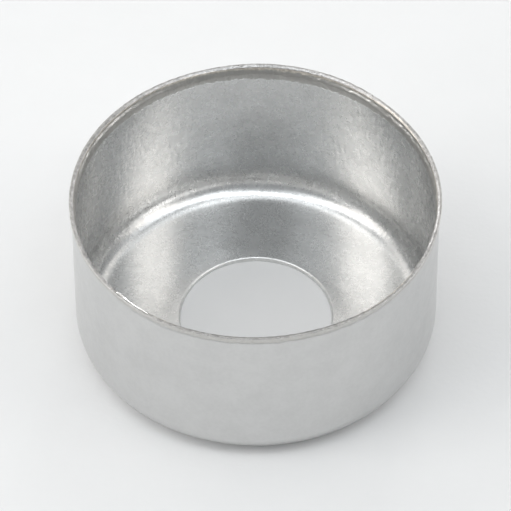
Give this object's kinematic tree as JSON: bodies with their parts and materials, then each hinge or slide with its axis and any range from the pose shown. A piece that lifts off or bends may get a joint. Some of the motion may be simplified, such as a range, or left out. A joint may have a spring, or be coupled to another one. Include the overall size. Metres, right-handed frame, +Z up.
{
  "type": "open-centre bottle cap",
  "caption": "Drawn aluminium cup with a round hole pierced in its floor, a rounded base corner and a trimmed lip that steps out a little, made to go over a bottle's neck and be crimped on.",
  "frame": {"origin": "middle of the base, on the axis of the cup, at the level of the surface that the cap stands on", "axes": "+Z up along the axis of the cup, out of its mouth; X and Y are free, because the cap is round"},
  "size_m": [0.0206, 0.0206, 0.0102],
  "materials": {
    "sheet": "satin as drawn, with a fine grain, faint draw marks inside and a rough trimmed lip"
  },
  "bodies": {
    "root": {"cap": "sheet"}
  },
  "joints": []
}
